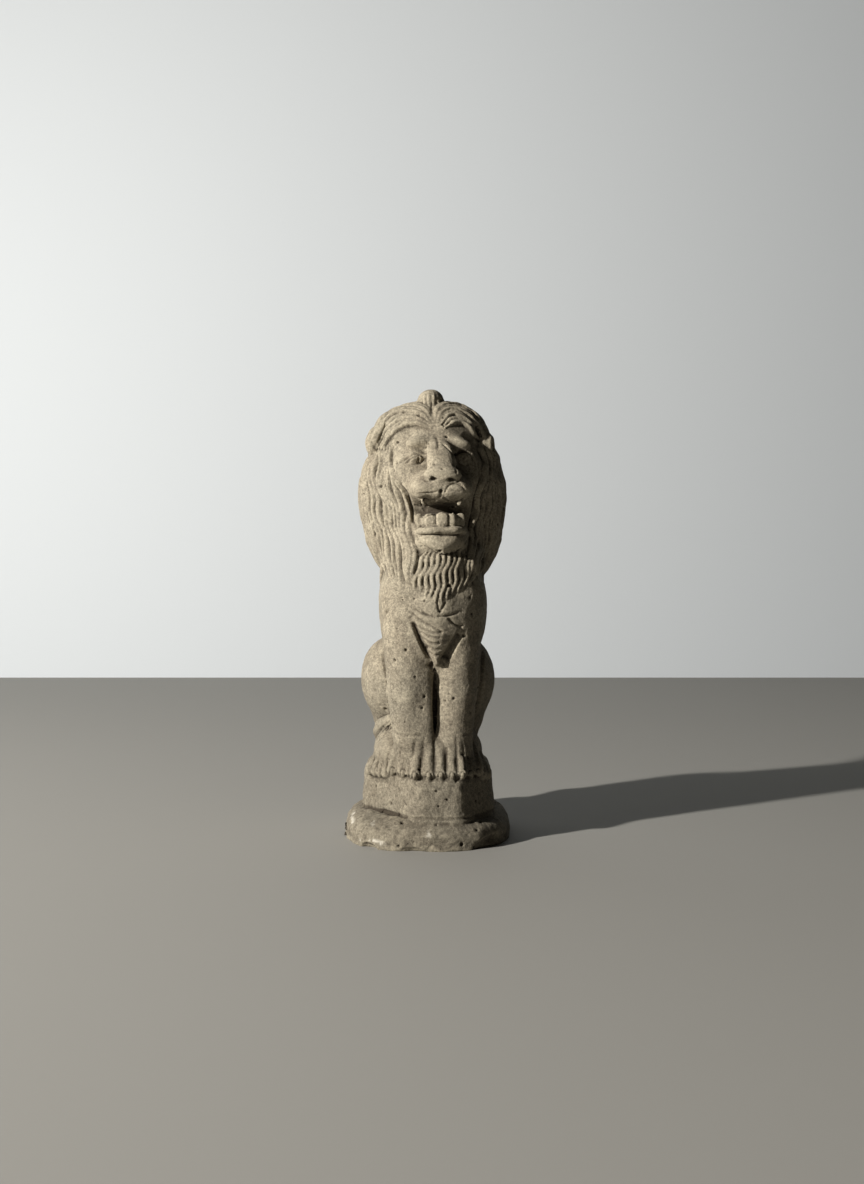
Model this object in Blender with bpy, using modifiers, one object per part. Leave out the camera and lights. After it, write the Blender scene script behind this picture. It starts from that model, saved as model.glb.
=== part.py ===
"""A cast stone lion for the garden, sitting upright on a stepped plinth that is cast in one piece with it.

The lion faces -Y, +X is to the right of whoever faces it, +Z is up, and the origin is at the middle of the underside.
The figure is drawn on a carver's grid in millimetres, on which its soles stand at SOLE and its topknot reaches
SOLE + GRID_HEIGHT. FIGURE_HEIGHT sets how large that grid is made. The plinth has sizes of its own.
"""

import math
import random

import bmesh
import bpy
import numpy as np
from mathutils import Euler, Matrix

# Driving sizes, in metres
FIGURE_HEIGHT = 0.642
SLAB_WIDTH = 0.284
SLAB_DEPTH = 0.340
SLAB_HEIGHT = 0.048
SLAB_EDGE_HEIGHT = 0.032
BLOCK_WIDTH = 0.230
BLOCK_DEPTH = 0.300
BLOCK_HEIGHT = 0.070
BLOCK_TAPER = 0.006

# Dry, warm grey cast stone
STONE_COLOUR = (0.40, 0.34, 0.25, 1.0)
STONE_ROUGHNESS = 0.92

# How finely the stone is worked, and the triangles left in the finished solid
CARVING_PITCHES = (FIGURE_HEIGHT / 86, FIGURE_HEIGHT / 117, FIGURE_HEIGHT / 146)
MOST_TRIANGLES = 9600

SOLE = 118.0
GRID_HEIGHT = 642.0
MM = 1000.0
GRID_SCALE = FIGURE_HEIGHT * MM / GRID_HEIGHT
PLINTH_TOP = (SLAB_HEIGHT + BLOCK_HEIGHT) * MM


def blend(a, b, soft):
    """The union of two forms given by their distances, with a fillet about as wide as soft."""
    shared = np.maximum(soft - np.abs(a - b), 0.0)
    return np.minimum(a, b) - shared * shared / (4.0 * soft)


class Ball:
    """An ellipsoid, turned by three angles in degrees. A power above 2 makes it squarer."""

    def __init__(self, centre, radii, turn=(0, 0, 0), power=2.0):
        self.centre = np.array(centre, float)
        self.radii = np.array(radii, float)
        self.turn = np.array(Euler([math.radians(a) for a in turn]).to_matrix())
        self.power = power
        self.reach = max(radii) * (1.0 if power == 2.0 else 1.5)

    def distance(self, p):
        q = np.abs((p - self.centre) @ self.turn) / self.radii + 1e-6
        if self.power == 2.0:
            near = np.sqrt((q * q).sum(1))
            steep = np.sqrt(((q / self.radii) ** 2).sum(1)) / near
        else:
            near = (q**self.power).sum(1) ** (1.0 / self.power)
            pull = (q / near[:, None]) ** (self.power - 1.0) / self.radii
            steep = np.sqrt((pull * pull).sum(1))
        return (near - 1.0) / steep

    def lumps(self):
        place = Matrix.Translation(self.centre) @ Matrix(self.turn).to_4x4()
        yield place @ Matrix.Diagonal((*self.radii, 1.0))


class Limb:
    """A tapered bar with round ends."""

    def __init__(self, start, end, start_radius, end_radius):
        self.start, self.end = np.array(start, float), np.array(end, float)
        self.radii = start_radius, end_radius
        self.centre = (self.start + self.end) / 2
        self.run = self.end - self.start
        self.length = np.linalg.norm(self.run)
        self.reach = self.length / 2 + max(self.radii)

    def distance(self, p):
        q = p - self.start
        along = np.clip(q @ self.run / self.length**2, 0.0, 1.0)
        q -= along[:, None] * self.run
        return np.sqrt((q * q).sum(1)) - (self.radii[0] + along * (self.radii[1] - self.radii[0]))

    def lumps(self):
        count = 2 + int(self.length / (0.6 * max(self.radii)))
        for share in np.linspace(0.0, 1.0, count):
            radius = self.radii[0] + share * (self.radii[1] - self.radii[0])
            yield Matrix.Translation(self.start + share * self.run) @ Matrix.Scale(radius, 4)


class Carving:
    """Forms put on and cut away one after another, in a frame of its own."""

    def __init__(self, place=(0, 0, 0), turn=(0, 0, 0)):
        self.place = np.array(place, float)
        self.turn = np.array(Euler([math.radians(a) for a in turn]).to_matrix())
        self.steps = []
        self.centre, self.reach = self.place, 0.0

    def put(self, form, soft):
        self.steps.append((form, soft, 1.0))
        middle = self.place + self.turn @ form.centre
        self.reach = max(self.reach, np.linalg.norm(middle - self.centre) + form.reach)

    def cut(self, form, soft):
        self.steps.append((form, soft, -1.0))

    def put_pair(self, form, soft, about=0.0):
        self.put(form, soft)
        self.put(mirror(form, about), soft)

    def cut_pair(self, form, soft, about=0.0):
        self.cut(form, soft)
        self.cut(mirror(form, about), soft)

    def distance(self, p):
        q = (p - self.place) @ self.turn
        form, soft, _ = self.steps[0]
        result = form.distance(q)
        for form, soft, way in self.steps[1:]:
            away = q - form.centre
            near = np.sqrt((away * away).sum(1)) - form.reach < way * result + soft
            if near.any():
                old = way * result[near]
                result[near] = way * blend(old, form.distance(q[near]), soft)
        return result

    def lumps(self):
        frame = Matrix.Translation(self.place) @ Matrix(self.turn).to_4x4()
        for form, _, way in self.steps:
            if way > 0:
                for lump in form.lumps():
                    yield frame @ lump


def mirror(form, about):
    """The same ball or limb on the other side of X = about."""
    flip = np.array((-1.0, 1.0, 1.0))
    shift = np.array((2.0 * about, 0.0, 0.0))
    if isinstance(form, Limb):
        return Limb(form.start * flip + shift, form.end * flip + shift, *form.radii)
    twin = Ball(form.centre * flip + shift, form.radii, power=form.power)
    twin.turn = np.diag(flip) @ form.turn @ np.diag(flip)
    return twin


def put_chain(carving, points, radii, soft):
    """Limbs end to end."""
    for a, b, ra, rb in zip(points, points[1:], radii, radii[1:]):
        carving.put(Limb(a, b, ra, rb), soft)


# The body

FLANK_MIDDLE = 9.0
PAW_BELL = Ball((0, -6, 112), (90, 112, 96))
FRONT_TOES = (-58, -40, -20, 2, 22, 40.5, 57, 71, 84)
HIND_TOES = (-97, -88, -79, -69, 92, 98)
TOE_LINE_X = (-112.0, -20.0, 57.0, 112.0)
TOE_LINE_Y = (-30.0, -139.0, -139.0, -72.0)
TOE_RADIUS = 9.8
TAIL = [(0, 150, 176), (-40, 150, 152), (-84, 96, 150), (-84, 40, 166), (-78, -8, 181), (-58, -52, 196)]
TAIL_RADII = [14, 13, 13, 13, 14, 13]


def on_bell(x, z):
    """A point of the paws' bell at this height, where x is its breadth at the foot."""
    wide, deep, tall = PAW_BELL.radii
    share = math.sqrt(1.0 - ((z - PAW_BELL.centre[2]) / tall) ** 2)
    y = -math.sqrt(max(1.0 - (x / wide) ** 2, 0.0)) * deep
    return x * share, PAW_BELL.centre[1] + y * share, z


def toe_tip(x, z=119):
    return x, np.interp(x, TOE_LINE_X, TOE_LINE_Y), z


def body():
    form = Carving()
    form.put(Ball((FLANK_MIDDLE, -50, 388), (91, 98, 132), (-6, 0, 0)), 1)
    form.put(Limb((7, -28, 440), (2, 56, 236), 74, 93), 30)
    form.put(Ball((0, 66, 206), (95, 95, 100)), 40)
    form.put(Ball((0, 50, 130), (90, 98, 58)), 20)
    form.put(PAW_BELL, 16)
    form.put_pair(Ball((62, 46, 262), (57, 92, 74), (12, 0, 0)), 12)
    form.put(Ball((72, 60, 177), (16, 34, 17)), 5)
    form.put_pair(Ball((60, -32, 144), (33, 60, 40)), 12)
    form.put(Limb((6, -44, 330), (2, -34, 180), 66, 60), 20)
    form.put(Ball((10, -91, 138), (32, 38, 54)), 8)
    forelegs = Carving()
    put_chain(forelegs, [(-31, -90, 410), (-29, -95, 250), (-25, -98, 178), (-20, -99, 132)], [48, 38, 32.5, 31], 5)
    put_chain(forelegs, [(48, -86, 410), (47, -93, 250), (43, -97, 178), (43, -98, 132)], [47, 34, 31, 32], 5)
    form.put(forelegs, 7)
    for x in FRONT_TOES:
        form.put(Limb((0.8 * x + 2, -113 + 0.007 * x * x, 174), toe_tip(x), 8.0, TOE_RADIUS), 2)
    for x in HIND_TOES:
        form.put(Limb(on_bell(0.9 * x, 164), toe_tip(x, 111), 7.0, TOE_RADIUS), 2.5)
    put_chain(form, TAIL, TAIL_RADII, 3)
    put_chain(form, [(10, -110, 392), (11, -122, 345), (12, -132, 302)], [40, 25, 8], 8)
    form.cut(Ball((12, -137, 236), (4.5, 46, 58)), 2)
    form.cut(Limb((-21, -147, 362), (10, -137, 292), 3.0, 6.5), 4)
    form.cut(Limb((50, -140, 344), (26, -141, 300), 4.0, 8.0), 4)
    return form


# The head: its frame's origin is the middle of the skull, and it is turned a little to its left

HEAD_PLACE = (12, -13, 600)
HEAD_TURN = (0, 0, 5)
TEETH = ((-36, 6), (-20.5, 7.8), (-0.5, 9.8), (16, 5.6), (30, 7))


def face():
    form = Carving(HEAD_PLACE, HEAD_TURN)
    form.put(Ball((0, -30, 34), (74, 60, 88)), 1)
    form.put_pair(Ball((46, -62, 8), (32, 30, 46)), 14)
    form.put(Ball((0, -86, -12), (52, 54, 32)), 14)
    form.put(Ball((0, -111, 28), (24, 17, 48), (-40, 0, 0), 2.4), 7)
    form.put(Ball((0, -132, 4), (30, 16, 13), power=2.2), 7)
    form.put_pair(Ball((22, -110, -18), (31, 31, 19.5), power=2.2), 6)
    form.put_pair(Ball((29, -76, 64), (28, 16, 12), (0, 10, -20)), 9)
    form.put_pair(Limb((52, -56, -14), (42, -64, -84), 17, 19), 10)
    form.put(Ball((0, -78, -88), (50, 62, 36)), 12)
    form.put(Ball((0, -103, -105), (43, 38, 20), power=2.3), 7)
    form.put(Ball((0, -106, -86), (42, 40, 9), power=2.6), 2.5)
    form.cut(Ball((0, -126, -50), (43, 46, 9.5), power=2.6), 3)
    form.cut_pair(Limb((32, -124, -48), (54, -96, -38), 6, 3), 3)
    form.put(Ball((0, -98, -71), (37, 41, 12), power=3.5), 2.5)
    for x, wide in TEETH:
        form.put(Ball((x, -136 + 0.014 * x * x, -69), (wide, 7, 11), power=3.5), 1.2)
    form.put_pair(Limb((30, -121, -36), (29, -124, -47), 5.5, 3.5), 2)
    form.cut_pair(Ball((40, -104, 37), (24, 15, 11), (0, 0, -18)), 5)
    form.put_pair(Ball((39, -76, 36), (19, 16, 12.5)), 2)
    form.cut_pair(Ball((17, -152, -5), (9, 10, 4), (0, -12, 0)), 2)
    form.cut(Limb((0, -156, -10), (0, -148, -40), 2.5, 3.0), 2)
    return form


def head():
    form = Carving()
    form.put(Ball((8.5, -12, 585), (122, 82, 134)), 1)
    form.put(Ball((6, -24, 680), (96, 60, 62)), 24)
    form.put(Ball((8, 14, 530), (100, 88, 84)), 30)
    form.put(Ball((10, -4, 515), (106, 76, 108)), 26)
    form.put(Ball((9, -76, 455), (80, 66, 78)), 26)
    form.put(Ball((5, -36, 742), (22, 26, 19)), 10)
    form.put(face(), 6)
    for side in (-1, 1):
        form.put(Ball((4 + 84 * side, -34, 684), (15, 21, 36), (0, -24 * side, 0)), 5)
        form.cut(Ball((4 + 83 * side, -58, 680), (6, 10, 22), (0, -24 * side, 0)), 7)
    return form


# The hair: every lock is a path laid on the stone, with a breadth and a height


def mane_point(angle, z, out=1.0):
    """A point near the mane's surface: angle is in degrees from the front towards +X."""
    turn = math.radians(angle)
    return 9 + 112 * out * math.sin(turn), -8 - 88 * out * math.cos(turn), z


def hanging_lock(angle, top, tip, sway, lean, steps=7):
    """A lock that hangs on the mane from one height to another, waving as it goes."""
    path = []
    for n in range(steps):
        share = n / (steps - 1)
        wave = sway * math.sin(math.tau * 0.8 * share + angle)
        path.append(mane_point(angle + lean * share + wave, top + (tip - top) * share))
    return path


def hair_locks():
    """Every lock as (path, half breadth, height)."""
    dice = random.Random(7)
    locks = []
    for side in (-1, 1):
        crown_high = [(2, -94, 700), (16, -82, 726), (38, -66, 742), (64, -46, 736), (86, -24, 716), (96, 4, 690)]
        crown_low = [(4, -98, 692), (30, -92, 702), (54, -80, 692), (72, -64, 670), (84, -50, 640), (88, -44, 610)]
        for n in range(4):
            share = n / 3
            mixed = [np.array(a) * (1 - share) + np.array(b) * share for a, b in zip(crown_high, crown_low)]
            locks.append(([(8 + side * x, y, z) for x, y, z in mixed], 11, 7))
        for n in range(5):
            angle = side * (8 + 34 * n)
            over = [mane_point(angle, 752 - 5 * k * k, 0.25 + 0.2 * k) for k in range(5)]
            if n > 1:
                locks.append((over, 13, 6))
        for top, tip, count, first, last in (
            (700, 590, 6, 62, 176),
            (650, 530, 7, 52, 180),
            (600, 480, 7, 46, 176),
            (545, 432, 6, 52, 170),
            (572, 470, 2, 26, 40),
            (500, 408, 3, 34, 62),
        ):
            for n in range(count):
                angle = first + (last - first) * n / (count - 1) + dice.uniform(-3, 3)
                drop = dice.uniform(-8, 8)
                path = hanging_lock(side * angle, top + drop, tip + drop, dice.uniform(3, 6), side * -5)
                locks.append((path, 12.5, 7.5))
    for n in range(8):
        x = -26 + 13 * n
        tip = 392 + 0.55 * abs(x - 9) + 8 * (n % 2)
        path = []
        for z in np.linspace(486, tip, 7):
            wave = 5 * math.sin((z - 392) / 94 * math.tau * 0.9)
            path.append((12 + (x - 9) + wave, -150 + 0.011 * (x - 9) ** 2, z))
        locks.append((path, 6.8, 4.2))
    return locks


def raised(points, normals, path, half_breadth, height):
    """How far one lock lifts each of the points near it."""
    path = np.array(path)
    reach = half_breadth * 1.3 + 8
    inside = np.all((points > path.min(0) - reach) & (points < path.max(0) + reach), axis=1)
    index = np.flatnonzero(inside)
    p, n = points[index], normals[index]
    best = np.full(len(p), 1e9)
    side, along = np.zeros(len(p)), np.zeros(len(p))
    for k in range(len(path) - 1):
        run = path[k + 1] - path[k]
        share = np.clip((p - path[k]) @ run / (run @ run), 0.0, 1.0)
        off = p - path[k] - share[:, None] * run
        gap = (off * off).sum(1)
        closer = gap < best
        best[closer] = gap[closer]
        across = np.cross(n[closer], run / np.linalg.norm(run))
        side[closer] = (off[closer] * across).sum(1)
        along[closer] = (k + share[closer]) / (len(path) - 1)
    best = np.sqrt(best)
    breadth = half_breadth * np.sqrt(np.clip(1.0 - along**4, 0.02, 1.0))
    across = np.clip(np.maximum(np.abs(side), 0.9 * (best - 10)) / breadth, 0.0, 1.0)
    lift = height * (0.45 + 0.55 * along) * np.sqrt((1.0 - across**2) * (1.0 - along**8))
    return index, lift


def comb(points, normals, field):
    """The height of the hair over each point of the stone."""
    height = np.zeros(len(points))
    for path, half_breadth, rise in hair_locks():
        laid = np.array(path, float)
        for _ in range(4):
            laid -= field(laid)[:, None] * slope(field, laid)
        index, lift = raised(points, normals, laid, half_breadth, rise)
        height[index] = np.maximum(height[index], lift)
    return height


# The plinth: a low slab with a rounded plan, and on it a tapered block with uneven cut corners

SLAB_ROUNDNESS = 2.6
BELOW = 10.0
SLAB_SHOULDER = 18.0
BLOCK_EDGE = 12.0
BLOCK_CORNERS = (
    (-0.17, -1.0), (0.50, -1.0), (1.0, -0.50), (1.0, 0.64), (0.62, 1.0), (-0.62, 1.0), (-1.0, 0.64), (-1.0, -0.22)
)


def slab_distance(p):
    half = np.array((SLAB_WIDTH, SLAB_DEPTH)) * MM / 2
    share = np.abs(p[:, :2]) / half
    plan = (share**SLAB_ROUNDNESS).sum(1) ** (1 / SLAB_ROUNDNESS) + 1e-6
    side = np.linalg.norm(p[:, :2], axis=1) * (1.0 - 1.0 / plan)
    fall = (SLAB_HEIGHT - SLAB_EDGE_HEIGHT) * MM * np.clip((plan - 0.76) / 0.24, 0.0, 1.0)
    top = p[:, 2] - (SLAB_HEIGHT * MM - fall)
    return -blend(-side, -top, SLAB_SHOULDER)


def block_wall_distance(p):
    rise = np.clip((p[:, 2] - SLAB_HEIGHT * MM) / (BLOCK_HEIGHT * MM), 0.0, 1.0)
    wall = np.full(len(p), -1e3)
    corners = np.array(BLOCK_CORNERS) * (BLOCK_WIDTH * MM / 2, BLOCK_DEPTH * MM / 2)
    for a, b in zip(corners, np.roll(corners, -1, axis=0)):
        run = b - a
        outward = np.array((run[1], -run[0])) / np.linalg.norm(run)
        plane = (p[:, :2] - a) @ outward + BLOCK_TAPER * MM * rise
        wall = -blend(-wall, -plane, BLOCK_EDGE)
    return wall


def plinth_distance(p):
    wall = block_wall_distance(p)
    block = -blend(-wall, PLINTH_TOP - p[:, 2], BLOCK_EDGE)
    return np.maximum(blend(slab_distance(p), block, 3.0), -BELOW - p[:, 2])


# The whole casting

FIGURE = Carving()
FIGURE.put(body(), 1)
FIGURE.put(head(), 10)


def stone(p):
    """Distance from the casting's surface, in millimetres from the middle of the underside."""
    return blend(plinth_distance(p), FIGURE.distance(on_grid(p)) * GRID_SCALE, 3.0)


def on_grid(p):
    return (p - (0, 0, PLINTH_TOP)) / GRID_SCALE + (0, 0, SOLE)


def slope(field, p, step=0.5):
    """The unit direction in which the field grows fastest, from four samples round each point."""
    corners = np.array([(1, -1, -1), (-1, -1, 1), (-1, 1, -1), (1, 1, 1)], float)
    grown = sum(corner * field(p + step * corner)[:, None] for corner in corners)
    return grown / (np.linalg.norm(grown, axis=1)[:, None] + 1e-9)


# Making the mesh: the forms' lumps are fused, drawn onto the casting's surface, and fused again until they hold it

DRAWS = 5
LONGEST_DRAW = 8.0
TRUSTED_DRAW = 2.0


def slab_outline(count):
    """Points round the slab's plan, in metres."""
    turns = np.arange(count) * math.tau / count
    sides = np.stack((np.cos(turns), np.sin(turns)), 1)
    return np.sign(sides) * np.abs(sides) ** (2 / SLAB_ROUNDNESS) * (SLAB_WIDTH / 2, SLAB_DEPTH / 2)


def add_prism(bm, outline, top):
    low = -BELOW / MM
    face = bm.faces.new([bm.verts.new((x, y, low)) for x, y in outline])
    grown = bmesh.ops.extrude_face_region(bm, geom=[face])["geom"]
    risen = [v for v in grown if isinstance(v, bmesh.types.BMVert)]
    bmesh.ops.translate(bm, verts=risen, vec=(0, 0, top - low))
    face.normal_flip()


def rough_out():
    """The figure's lumps and two boxes for the plinth, in metres."""
    ball = bmesh.new()
    bmesh.ops.create_icosphere(ball, subdivisions=2, radius=1.0)
    unit = bpy.data.meshes.new("unit_ball")
    ball.to_mesh(unit)
    ball.free()
    bm = bmesh.new()
    grid = Matrix.Translation((0, 0, (PLINTH_TOP - SOLE * GRID_SCALE) / MM)) @ Matrix.Scale(GRID_SCALE / MM, 4)
    for place in FIGURE.lumps():
        lump = unit.copy()
        lump.transform(grid @ place)
        bm.from_mesh(lump)
        bpy.data.meshes.remove(lump)
    add_prism(bm, slab_outline(48), SLAB_HEIGHT)
    add_prism(bm, np.array(BLOCK_CORNERS) * (BLOCK_WIDTH / 2, BLOCK_DEPTH / 2), PLINTH_TOP / MM)
    mesh = bpy.data.meshes.new("roughed_out")
    bm.to_mesh(mesh)
    bm.free()
    bpy.data.meshes.remove(unit)
    return mesh


def drop_hollows(mesh):
    """Keeps only the outer skin, and not the skins of hollows that were left between the lumps."""
    bm = bmesh.new()
    bm.from_mesh(mesh)
    bm.verts.ensure_lookup_table()
    unseen = set(range(len(bm.verts)))
    shells = []
    while unseen:
        edge = [unseen.pop()]
        shell = list(edge)
        while edge:
            around = {e.other_vert(bm.verts[v]).index for v in edge for e in bm.verts[v].link_edges}
            edge = around & unseen
            unseen -= edge
            shell.extend(edge)
        shells.append(shell)
    outer = max(shells, key=len)
    inner = [bm.verts[v] for shell in shells if shell is not outer for v in shell]
    bmesh.ops.delete(bm, geom=inner, context="VERTS")
    bm.to_mesh(mesh)
    bm.free()
    mesh.update()


def read(mesh, attribute):
    values = np.empty(len(mesh.vertices) * 3, np.float32)
    source = mesh.vertices if attribute == "co" else mesh.vertex_normals
    source.foreach_get("co" if attribute == "co" else "vector", values)
    return values.reshape(-1, 3).astype(float)


def write(mesh, points):
    mesh.vertices.foreach_set("co", points.astype(np.float32).ravel())
    mesh.update()


def modified(obj, kind, **settings):
    """Gives the object the mesh that a modifier makes of it."""
    modifier = obj.modifiers.new(kind.lower(), kind)
    for name, value in settings.items():
        setattr(modifier, name, value)
    graph = bpy.context.evaluated_depsgraph_get()
    mesh = bpy.data.meshes.new_from_object(obj.evaluated_get(graph))
    obj.modifiers.remove(modifier)
    old, obj.data = obj.data, mesh
    bpy.data.meshes.remove(old)


def neighbours_middle(mesh, points):
    ends = np.empty(len(mesh.edges) * 2, np.int32)
    mesh.edges.foreach_get("vertices", ends)
    a, b = ends.reshape(-1, 2).T
    here, there = np.concatenate((a, b)), np.concatenate((b, a))
    count = np.maximum(np.bincount(here, minlength=len(points)), 1)
    total = [np.bincount(here, points[there, axis], len(points)) for axis in range(3)]
    return np.stack(total, 1) / count[:, None]


def draw_on(mesh, times):
    """Draws the mesh onto the casting's surface, evening out its points on the way."""
    for n in range(times):
        points = read(mesh, "co") * MM
        if n < times - 1:
            points += 0.4 * (neighbours_middle(mesh, points) - points)
        away = stone(points)
        way = read(mesh, "normal")
        far = np.abs(away) > TRUSTED_DRAW
        way[far] = slope(stone, points[far])
        step = np.clip(away, -LONGEST_DRAW, LONGEST_DRAW)
        write(mesh, (points - step[:, None] * way) / MM)


def flat_bottom(obj):
    """Cuts the casting level at its underside and closes it with one flat face."""
    bm = bmesh.new()
    bm.from_mesh(obj.data)
    whole = bm.verts[:] + bm.edges[:] + bm.faces[:]
    cut = bmesh.ops.bisect_plane(bm, geom=whole, plane_co=(0, 0, 0), plane_no=(0, 0, -1), clear_outer=True)
    rim = [e for e in cut["geom_cut"] if isinstance(e, bmesh.types.BMEdge)]
    bmesh.ops.contextual_create(bm, geom=rim)
    bm.to_mesh(obj.data)
    bm.free()


def carved_lion(collection):
    obj = bpy.data.objects.new("stone_lion", rough_out())
    collection.objects.link(obj)
    for pitch in CARVING_PITCHES:
        modified(obj, "REMESH", mode="VOXEL", voxel_size=pitch)
        drop_hollows(obj.data)
        draw_on(obj.data, DRAWS)
    points, normals = read(obj.data, "co") * MM, read(obj.data, "normal")
    height = comb(on_grid(points), normals, FIGURE.distance) * GRID_SCALE
    write(obj.data, (points + height[:, None] * normals) / MM)
    flat_bottom(obj)
    modified(obj, "TRIANGULATE")
    modified(obj, "DECIMATE", ratio=MOST_TRIANGLES / len(obj.data.polygons))
    return obj


def cast_stone():
    material = bpy.data.materials.new("cast_stone")
    material.use_nodes = True
    surface = material.node_tree.nodes["Principled BSDF"]
    surface.inputs["Base Color"].default_value = STONE_COLOUR
    surface.inputs["Roughness"].default_value = STONE_ROUGHNESS
    surface.inputs["Metallic"].default_value = 0.0
    return material


def main():
    for obj in list(bpy.data.objects):
        bpy.data.objects.remove(obj)
    statue = bpy.data.collections.new("stone_lion_statue")
    bpy.context.scene.collection.children.link(statue)
    casting = carved_lion(statue)
    casting.data.materials.append(cast_stone())
    return casting


lion = main()
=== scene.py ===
"""Looks for a cast stone lion garden statue. All lengths are in millimetres until they reach a mesh."""

import math
import random

import bmesh
import bpy
import numpy as np
from mathutils import Euler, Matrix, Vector


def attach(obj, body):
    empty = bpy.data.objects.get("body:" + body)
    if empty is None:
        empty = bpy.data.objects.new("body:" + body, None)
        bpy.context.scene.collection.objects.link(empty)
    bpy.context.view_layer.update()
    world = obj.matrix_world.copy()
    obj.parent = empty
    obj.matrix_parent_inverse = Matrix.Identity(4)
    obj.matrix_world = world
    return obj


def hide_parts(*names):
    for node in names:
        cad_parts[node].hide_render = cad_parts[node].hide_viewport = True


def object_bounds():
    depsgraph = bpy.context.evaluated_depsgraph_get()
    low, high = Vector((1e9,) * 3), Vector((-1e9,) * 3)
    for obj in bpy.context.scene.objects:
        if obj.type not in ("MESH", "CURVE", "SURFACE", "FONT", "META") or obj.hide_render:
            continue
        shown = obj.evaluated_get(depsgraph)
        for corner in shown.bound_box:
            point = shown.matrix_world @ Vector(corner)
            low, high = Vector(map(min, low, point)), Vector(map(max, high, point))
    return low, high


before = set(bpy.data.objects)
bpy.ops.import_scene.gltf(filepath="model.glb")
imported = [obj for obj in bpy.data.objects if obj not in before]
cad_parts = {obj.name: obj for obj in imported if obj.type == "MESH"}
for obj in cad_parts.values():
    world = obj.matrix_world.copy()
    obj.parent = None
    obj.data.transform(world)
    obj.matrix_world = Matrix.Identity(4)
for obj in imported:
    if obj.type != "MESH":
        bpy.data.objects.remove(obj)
cad_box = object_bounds()


# The slab and the block
# The lion stands on a block with uneven cut corners, on a thick slab with a rounded plan. Both were cast with
# it, in the same mould, from the same stone mix. A trowelled crease runs round the foot of the block.

MM = 0.001
SLAB_HALF = np.array((142.0, 170.0))
SLAB_TOP = 48.0
SLAB_EDGE = 32.0
SLAB_ROUNDNESS = 2.6
SLAB_SHOULDER = 18.0
BLOCK_HALF = np.array((115.0, 150.0))
BLOCK_TOP = 118.0
BLOCK_TAPER = 6.0
BLOCK_EDGE = 12.0
BLOCK_CORNERS = (
    (-0.17, -1.0), (0.50, -1.0), (1.0, -0.50), (1.0, 0.64), (0.62, 1.0), (-0.62, 1.0), (-1.0, 0.64),
     (-1.0, -0.22)
)
CREASE_RADIUS = 2.6
BELOW = 10.0


def blend(a, b, soft):
    """The union of two forms given by their distances, with a fillet about as wide as soft."""
    shared = np.maximum(soft - np.abs(a - b), 0.0)
    return np.minimum(a, b) - shared * shared / (4.0 * soft)


def slab_form(p):
    share = np.abs(p[:, :2]) / SLAB_HALF
    plan = (share**SLAB_ROUNDNESS).sum(1) ** (1 / SLAB_ROUNDNESS) + 1e-6
    side = np.linalg.norm(p[:, :2], axis=1) * (1.0 - 1.0 / plan)
    fall = (SLAB_TOP - SLAB_EDGE) * np.clip((plan - 0.76) / 0.24, 0.0, 1.0)
    return -blend(-side, SLAB_TOP - fall - p[:, 2], SLAB_SHOULDER)


def block_wall(p):
    rise = np.clip((p[:, 2] - SLAB_TOP) / (BLOCK_TOP - SLAB_TOP), 0.0, 1.0)
    wall = np.full(len(p), -1e3)
    corners = np.array(BLOCK_CORNERS) * BLOCK_HALF
    for a, b in zip(corners, np.roll(corners, -1, axis=0)):
        run = b - a
        outward = np.array((run[1], -run[0])) / np.linalg.norm(run)
        wall = -blend(-wall, -((p[:, :2] - a) @ outward + BLOCK_TAPER * rise), BLOCK_EDGE)
    return wall


def plinth_form(p):
    wall = block_wall(p)
    block = -blend(-wall, BLOCK_TOP - p[:, 2], BLOCK_EDGE)
    crease = np.hypot(wall - 0.5, p[:, 2] - SLAB_TOP) - CREASE_RADIUS
    joined = -blend(-blend(slab_form(p), block, 2.0), crease, 2.0)
    return np.maximum(joined, -BELOW - p[:, 2])


# The body
# The lion sits upright with its forelegs together, cast solid from one mould. A web of stone closes the space
# between the legs, the haunches and the belly, so that the casting could be drawn from the mould and can't
# snap at the ankles.

FLANK_MIDDLE = 9.0
FRONT_TOES = (-58, -40, -20, 2, 22, 40.5, 57, 71, 84)
HIND_TOES = (-97, -88, -79, -69, 92, 98)
TOE_LINE_X = (-112.0, -20.0, 57.0, 112.0)
TOE_LINE_Y = (-30.0, -139.0, -139.0, -72.0)
TOE_RADIUS = 9.8
BETWEEN_TOES = 6.6
TAIL = [(0, 150, 176), (-40, 150, 152), (-84, 96, 150), (-84, 40, 166), (-78, -8, 181), (-58, -52, 196)]


class Ball:
    """An ellipsoid, turned by three angles in degrees. A power above 2 makes it squarer."""

    def __init__(self, centre, radii, turn=(0, 0, 0), power=2.0):
        self.centre = np.array(centre, float)
        self.radii = np.array(radii, float)
        self.turn = np.array(Euler([math.radians(a) for a in turn]).to_matrix())
        self.power = power
        self.reach = max(radii) * (1.0 if power == 2.0 else 1.5)

    def distance(self, p):
        q = np.abs((p - self.centre) @ self.turn) / self.radii + 1e-6
        if self.power == 2.0:
            near = np.sqrt((q * q).sum(1))
            steep = np.sqrt(((q / self.radii) ** 2).sum(1)) / near
        else:
            near = (q**self.power).sum(1) ** (1.0 / self.power)
            pull = (q / near[:, None]) ** (self.power - 1.0) / self.radii
            steep = np.sqrt((pull * pull).sum(1))
        return (near - 1.0) / steep

    def mirrored(self):
        flip = np.array((-1.0, 1.0, 1.0))
        twin = Ball(self.centre * flip, self.radii, power=self.power)
        twin.turn = np.diag(flip) @ self.turn @ np.diag(flip)
        return twin


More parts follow.
